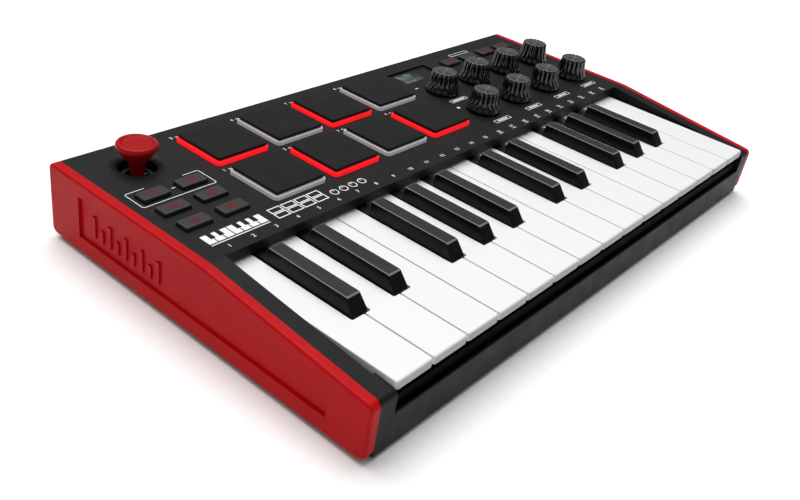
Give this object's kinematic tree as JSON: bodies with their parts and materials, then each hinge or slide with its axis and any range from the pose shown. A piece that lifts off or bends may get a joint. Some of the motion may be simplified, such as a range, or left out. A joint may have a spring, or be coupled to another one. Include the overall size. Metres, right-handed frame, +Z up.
{
  "type": "midi keyboard controller",
  "caption": "Compact music keyboard controller with mini keys, light-up drum pads, fluted knobs, a thumbstick, buttons and red end cheeks.",
  "frame": {"origin": "on the table, under the middle of the case", "axes": "+X along the keys to the high notes, +Y from the player to the back, +Z up"},
  "size_m": [0.318, 0.177, 0.046],
  "materials": {
    "charcoal_shell": "fine textured moulded ABS, charcoal",
    "red_shell": "satin moulded ABS, red",
    "black_frame": "smooth moulded ABS, black",
    "board_laminate": "solder mask over glass laminate, with black and metal components",
    "foot_rubber": "matt rubber",
    "screw_steel": "blackened steel",
    "gimbal_plastic": "moulded acetal, black",
    "red_stick": "soft-touch moulded, red",
    "white_key_plastic": "satin ABS, white",
    "black_key_plastic": "satin ABS, black, finely brushed look",
    "pad_silicone": "silicone, matt black top over a translucent light ring",
    "button_rubber": "matt silicone, charcoal",
    "knob_plastic": "gloss moulded, black, fluted"
  },
  "bodies": {
    "case": {"top_cover": "charcoal_shell", "bottom_cover": "charcoal_shell", "end_cheeks": "red_shell", "keybed_frame": "black_frame", "circuit_boards": "board_laminate", "rubber_feet": "foot_rubber", "case_screws": "screw_steel"},
    "white_key_01": {"white_key_01": "white_key_plastic"},
    "white_key_02": {"white_key_02": "white_key_plastic"},
    "white_key_03": {"white_key_03": "white_key_plastic"},
    "white_key_04": {"white_key_04": "white_key_plastic"},
    "white_key_05": {"white_key_05": "white_key_plastic"},
    "white_key_06": {"white_key_06": "white_key_plastic"},
    "white_key_07": {"white_key_07": "white_key_plastic"},
    "white_key_08": {"white_key_08": "white_key_plastic"},
    "white_key_09": {"white_key_09": "white_key_plastic"},
    "white_key_10": {"white_key_10": "white_key_plastic"},
    "white_key_11": {"white_key_11": "white_key_plastic"},
    "white_key_12": {"white_key_12": "white_key_plastic"},
    "white_key_13": {"white_key_13": "white_key_plastic"},
    "white_key_14": {"white_key_14": "white_key_plastic"},
    "white_key_15": {"white_key_15": "white_key_plastic"},
    "black_key_01": {"black_key_01": "black_key_plastic"},
    "black_key_02": {"black_key_02": "black_key_plastic"},
    "black_key_03": {"black_key_03": "black_key_plastic"},
    "black_key_04": {"black_key_04": "black_key_plastic"},
    "black_key_05": {"black_key_05": "black_key_plastic"},
    "black_key_06": {"black_key_06": "black_key_plastic"},
    "black_key_07": {"black_key_07": "black_key_plastic"},
    "black_key_08": {"black_key_08": "black_key_plastic"},
    "black_key_09": {"black_key_09": "black_key_plastic"},
    "black_key_10": {"black_key_10": "black_key_plastic"},
    "pad_1": {"pad_1": "pad_silicone"},
    "pad_2": {"pad_2": "pad_silicone"},
    "pad_3": {"pad_3": "pad_silicone"},
    "pad_4": {"pad_4": "pad_silicone"},
    "pad_5": {"pad_5": "pad_silicone"},
    "pad_6": {"pad_6": "pad_silicone"},
    "pad_7": {"pad_7": "pad_silicone"},
    "pad_8": {"pad_8": "pad_silicone"},
    "button_01": {"button_01": "button_rubber"},
    "button_02": {"button_02": "button_rubber"},
    "button_03": {"button_03": "button_rubber"},
    "button_04": {"button_04": "button_rubber"},
    "button_05": {"button_05": "button_rubber"},
    "button_06": {"button_06": "button_rubber"},
    "button_07": {"button_07": "button_rubber"},
    "button_08": {"button_08": "button_rubber"},
    "button_09": {"button_09": "button_rubber"},
    "button_10": {"button_10": "button_rubber"},
    "knob_1": {"knob_1": "knob_plastic"},
    "knob_2": {"knob_2": "knob_plastic"},
    "knob_3": {"knob_3": "knob_plastic"},
    "knob_4": {"knob_4": "knob_plastic"},
    "knob_5": {"knob_5": "knob_plastic"},
    "knob_6": {"knob_6": "knob_plastic"},
    "knob_7": {"knob_7": "knob_plastic"},
    "knob_8": {"knob_8": "knob_plastic"},
    "gimbal_ring": {"gimbal_ring": "gimbal_plastic"},
    "thumbstick": {"thumbstick": "red_stick"}
  },
  "joints": [
    {"name": "white_key_01_hinge", "type": "hinge", "parent": "case", "child": "white_key_01", "pos_m": [-0.1365, 0.005, 0.024], "axis": [1, 0, 0], "range_deg": [0, 1.8], "stiffness_Nm_per_rad": 0.64, "springref_deg": -4.01},
    {"name": "white_key_02_hinge", "type": "hinge", "parent": "case", "child": "white_key_02", "pos_m": [-0.117, 0.005, 0.024], "axis": [1, 0, 0], "range_deg": [0, 1.8], "stiffness_Nm_per_rad": 0.64, "springref_deg": -4.01},
    {"name": "white_key_03_hinge", "type": "hinge", "parent": "case", "child": "white_key_03", "pos_m": [-0.0975, 0.005, 0.024], "axis": [1, 0, 0], "range_deg": [0, 1.8], "stiffness_Nm_per_rad": 0.64, "springref_deg": -4.01},
    {"name": "white_key_04_hinge", "type": "hinge", "parent": "case", "child": "white_key_04", "pos_m": [-0.078, 0.005, 0.024], "axis": [1, 0, 0], "range_deg": [0, 1.8], "stiffness_Nm_per_rad": 0.64, "springref_deg": -4.01},
    {"name": "white_key_05_hinge", "type": "hinge", "parent": "case", "child": "white_key_05", "pos_m": [-0.0585, 0.005, 0.024], "axis": [1, 0, 0], "range_deg": [0, 1.8], "stiffness_Nm_per_rad": 0.64, "springref_deg": -4.01},
    {"name": "white_key_06_hinge", "type": "hinge", "parent": "case", "child": "white_key_06", "pos_m": [-0.039, 0.005, 0.024], "axis": [1, 0, 0], "range_deg": [0, 1.8], "stiffness_Nm_per_rad": 0.64, "springref_deg": -4.01},
    {"name": "white_key_07_hinge", "type": "hinge", "parent": "case", "child": "white_key_07", "pos_m": [-0.0195, 0.005, 0.024], "axis": [1, 0, 0], "range_deg": [0, 1.8], "stiffness_Nm_per_rad": 0.64, "springref_deg": -4.01},
    {"name": "white_key_08_hinge", "type": "hinge", "parent": "case", "child": "white_key_08", "pos_m": [0, 0.005, 0.024], "axis": [1, 0, 0], "range_deg": [0, 1.8], "stiffness_Nm_per_rad": 0.64, "springref_deg": -4.01},
    {"name": "white_key_09_hinge", "type": "hinge", "parent": "case", "child": "white_key_09", "pos_m": [0.0195, 0.005, 0.024], "axis": [1, 0, 0], "range_deg": [0, 1.8], "stiffness_Nm_per_rad": 0.64, "springref_deg": -4.01},
    {"name": "white_key_10_hinge", "type": "hinge", "parent": "case", "child": "white_key_10", "pos_m": [0.039, 0.005, 0.024], "axis": [1, 0, 0], "range_deg": [0, 1.8], "stiffness_Nm_per_rad": 0.64, "springref_deg": -4.01},
    {"name": "white_key_11_hinge", "type": "hinge", "parent": "case", "child": "white_key_11", "pos_m": [0.0585, 0.005, 0.024], "axis": [1, 0, 0], "range_deg": [0, 1.8], "stiffness_Nm_per_rad": 0.64, "springref_deg": -4.01},
    {"name": "white_key_12_hinge", "type": "hinge", "parent": "case", "child": "white_key_12", "pos_m": [0.078, 0.005, 0.024], "axis": [1, 0, 0], "range_deg": [0, 1.8], "stiffness_Nm_per_rad": 0.64, "springref_deg": -4.01},
    {"name": "white_key_13_hinge", "type": "hinge", "parent": "case", "child": "white_key_13", "pos_m": [0.0975, 0.005, 0.024], "axis": [1, 0, 0], "range_deg": [0, 1.8], "stiffness_Nm_per_rad": 0.64, "springref_deg": -4.01},
    {"name": "white_key_14_hinge", "type": "hinge", "parent": "case", "child": "white_key_14", "pos_m": [0.117, 0.005, 0.024], "axis": [1, 0, 0], "range_deg": [0, 1.8], "stiffness_Nm_per_rad": 0.64, "springref_deg": -4.01},
    {"name": "white_key_15_hinge", "type": "hinge", "parent": "case", "child": "white_key_15", "pos_m": [0.1365, 0.005, 0.024], "axis": [1, 0, 0], "range_deg": [0, 1.8], "stiffness_Nm_per_rad": 0.64, "springref_deg": -4.01},
    {"name": "black_key_01_hinge", "type": "hinge", "parent": "case", "child": "black_key_01", "pos_m": [-0.12825, 0.005, 0.024], "axis": [1, 0, 0], "range_deg": [0, 2.6], "stiffness_Nm_per_rad": 0.5, "springref_deg": -4.01},
    {"name": "black_key_02_hinge", "type": "hinge", "parent": "case", "child": "black_key_02", "pos_m": [-0.10575, 0.005, 0.024], "axis": [1, 0, 0], "range_deg": [0, 2.6], "stiffness_Nm_per_rad": 0.5, "springref_deg": -4.01},
    {"name": "black_key_03_hinge", "type": "hinge", "parent": "case", "child": "black_key_03", "pos_m": [-0.07045, 0.005, 0.024], "axis": [1, 0, 0], "range_deg": [0, 2.6], "stiffness_Nm_per_rad": 0.5, "springref_deg": -4.01},
    {"name": "black_key_04_hinge", "type": "hinge", "parent": "case", "child": "black_key_04", "pos_m": [-0.04875, 0.005, 0.024], "axis": [1, 0, 0], "range_deg": [0, 2.6], "stiffness_Nm_per_rad": 0.5, "springref_deg": -4.01},
    {"name": "black_key_05_hinge", "type": "hinge", "parent": "case", "child": "black_key_05", "pos_m": [-0.02705, 0.005, 0.024], "axis": [1, 0, 0], "range_deg": [0, 2.6], "stiffness_Nm_per_rad": 0.5, "springref_deg": -4.01},
    {"name": "black_key_06_hinge", "type": "hinge", "parent": "case", "child": "black_key_06", "pos_m": [0.00825, 0.005, 0.024], "axis": [1, 0, 0], "range_deg": [0, 2.6], "stiffness_Nm_per_rad": 0.5, "springref_deg": -4.01},
    {"name": "black_key_07_hinge", "type": "hinge", "parent": "case", "child": "black_key_07", "pos_m": [0.03075, 0.005, 0.024], "axis": [1, 0, 0], "range_deg": [0, 2.6], "stiffness_Nm_per_rad": 0.5, "springref_deg": -4.01},
    {"name": "black_key_08_hinge", "type": "hinge", "parent": "case", "child": "black_key_08", "pos_m": [0.06605, 0.005, 0.024], "axis": [1, 0, 0], "range_deg": [0, 2.6], "stiffness_Nm_per_rad": 0.5, "springref_deg": -4.01},
    {"name": "black_key_09_hinge", "type": "hinge", "parent": "case", "child": "black_key_09", "pos_m": [0.08775, 0.005, 0.024], "axis": [1, 0, 0], "range_deg": [0, 2.6], "stiffness_Nm_per_rad": 0.5, "springref_deg": -4.01},
    {"name": "black_key_10_hinge", "type": "hinge", "parent": "case", "child": "black_key_10", "pos_m": [0.10945, 0.005, 0.024], "axis": [1, 0, 0], "range_deg": [0, 2.6], "stiffness_Nm_per_rad": 0.5, "springref_deg": -4.01},
    {"name": "pad_1_press", "type": "slide", "parent": "case", "child": "pad_1", "axis": [0, 0, -1], "range_m": [0, 0.0006], "stiffness_N_per_m": 3000, "springref_m": -0.0003},
    {"name": "pad_2_press", "type": "slide", "parent": "case", "child": "pad_2", "axis": [0, 0, -1], "range_m": [0, 0.0006], "stiffness_N_per_m": 3000, "springref_m": -0.0003},
    {"name": "pad_3_press", "type": "slide", "parent": "case", "child": "pad_3", "axis": [0, 0, -1], "range_m": [0, 0.0006], "stiffness_N_per_m": 3000, "springref_m": -0.0003},
    {"name": "pad_4_press", "type": "slide", "parent": "case", "child": "pad_4", "axis": [0, 0, -1], "range_m": [0, 0.0006], "stiffness_N_per_m": 3000, "springref_m": -0.0003},
    {"name": "pad_5_press", "type": "slide", "parent": "case", "child": "pad_5", "axis": [0, 0, -1], "range_m": [0, 0.0006], "stiffness_N_per_m": 3000, "springref_m": -0.0003},
    {"name": "pad_6_press", "type": "slide", "parent": "case", "child": "pad_6", "axis": [0, 0, -1], "range_m": [0, 0.0006], "stiffness_N_per_m": 3000, "springref_m": -0.0003},
    {"name": "pad_7_press", "type": "slide", "parent": "case", "child": "pad_7", "axis": [0, 0, -1], "range_m": [0, 0.0006], "stiffness_N_per_m": 3000, "springref_m": -0.0003},
    {"name": "pad_8_press", "type": "slide", "parent": "case", "child": "pad_8", "axis": [0, 0, -1], "range_m": [0, 0.0006], "stiffness_N_per_m": 3000, "springref_m": -0.0003},
    {"name": "button_01_press", "type": "slide", "parent": "case", "child": "button_01", "axis": [0, 0, -1], "range_m": [0, 0.0006], "stiffness_N_per_m": 1500, "springref_m": -0.0003},
    {"name": "button_02_press", "type": "slide", "parent": "case", "child": "button_02", "axis": [0, 0, -1], "range_m": [0, 0.0006], "stiffness_N_per_m": 1500, "springref_m": -0.0003},
    {"name": "button_03_press", "type": "slide", "parent": "case", "child": "button_03", "axis": [0, 0, -1], "range_m": [0, 0.0006], "stiffness_N_per_m": 1500, "springref_m": -0.0003},
    {"name": "button_04_press", "type": "slide", "parent": "case", "child": "button_04", "axis": [0, 0, -1], "range_m": [0, 0.0006], "stiffness_N_per_m": 1500, "springref_m": -0.0003},
    {"name": "button_05_press", "type": "slide", "parent": "case", "child": "button_05", "axis": [0, 0, -1], "range_m": [0, 0.0006], "stiffness_N_per_m": 1500, "springref_m": -0.0003},
    {"name": "button_06_press", "type": "slide", "parent": "case", "child": "button_06", "axis": [0, 0, -1], "range_m": [0, 0.0006], "stiffness_N_per_m": 1500, "springref_m": -0.0003},
    {"name": "button_07_press", "type": "slide", "parent": "case", "child": "button_07", "axis": [0, 0, -1], "range_m": [0, 0.0006], "stiffness_N_per_m": 1500, "springref_m": -0.0003},
    {"name": "button_08_press", "type": "slide", "parent": "case", "child": "button_08", "axis": [0, 0, -1], "range_m": [0, 0.0006], "stiffness_N_per_m": 1500, "springref_m": -0.0003},
    {"name": "button_09_press", "type": "slide", "parent": "case", "child": "button_09", "axis": [0, 0, -1], "range_m": [0, 0.0006], "stiffness_N_per_m": 1500, "springref_m": -0.0003},
    {"name": "button_10_press", "type": "slide", "parent": "case", "child": "button_10", "axis": [0, 0, -1], "range_m": [0, 0.0006], "stiffness_N_per_m": 1500, "springref_m": -0.0003},
    {"name": "knob_1_turn", "type": "hinge", "parent": "case", "child": "knob_1", "pos_m": [0.0482, 0.047, 0.0351], "axis": [0, 0, 1], "continuous": true},
    {"name": "knob_2_turn", "type": "hinge", "parent": "case", "child": "knob_2", "pos_m": [0.0779, 0.047, 0.0351], "axis": [0, 0, 1], "continuous": true},
    {"name": "knob_3_turn", "type": "hinge", "parent": "case", "child": "knob_3", "pos_m": [0.1076, 0.047, 0.0351], "axis": [0, 0, 1], "continuous": true},
    {"name": "knob_4_turn", "type": "hinge", "parent": "case", "child": "knob_4", "pos_m": [0.1373, 0.047, 0.0351], "axis": [0, 0, 1], "continuous": true},
    {"name": "knob_5_turn", "type": "hinge", "parent": "case", "child": "knob_5", "pos_m": [0.0482, 0.0196, 0.0351], "axis": [0, 0, 1], "continuous": true},
    {"name": "knob_6_turn", "type": "hinge", "parent": "case", "child": "knob_6", "pos_m": [0.0779, 0.0196, 0.0351], "axis": [0, 0, 1], "continuous": true},
    {"name": "knob_7_turn", "type": "hinge", "parent": "case", "child": "knob_7", "pos_m": [0.1076, 0.0196, 0.0351], "axis": [0, 0, 1], "continuous": true},
    {"name": "knob_8_turn", "type": "hinge", "parent": "case", "child": "knob_8", "pos_m": [0.1373, 0.0196, 0.0351], "axis": [0, 0, 1], "continuous": true},
    {"name": "stick_sideways", "type": "hinge", "parent": "case", "child": "gimbal_ring", "pos_m": [-0.1314, 0.068, 0.028], "axis": [0, 1, 0], "range_deg": [-16, 16], "stiffness_Nm_per_rad": 0.03},
    {"name": "stick_forward", "type": "hinge", "parent": "gimbal_ring", "child": "thumbstick", "pos_m": [-0.1314, 0.068, 0.028], "axis": [1, 0, 0], "range_deg": [-16, 16], "stiffness_Nm_per_rad": 0.03}
  ]
}
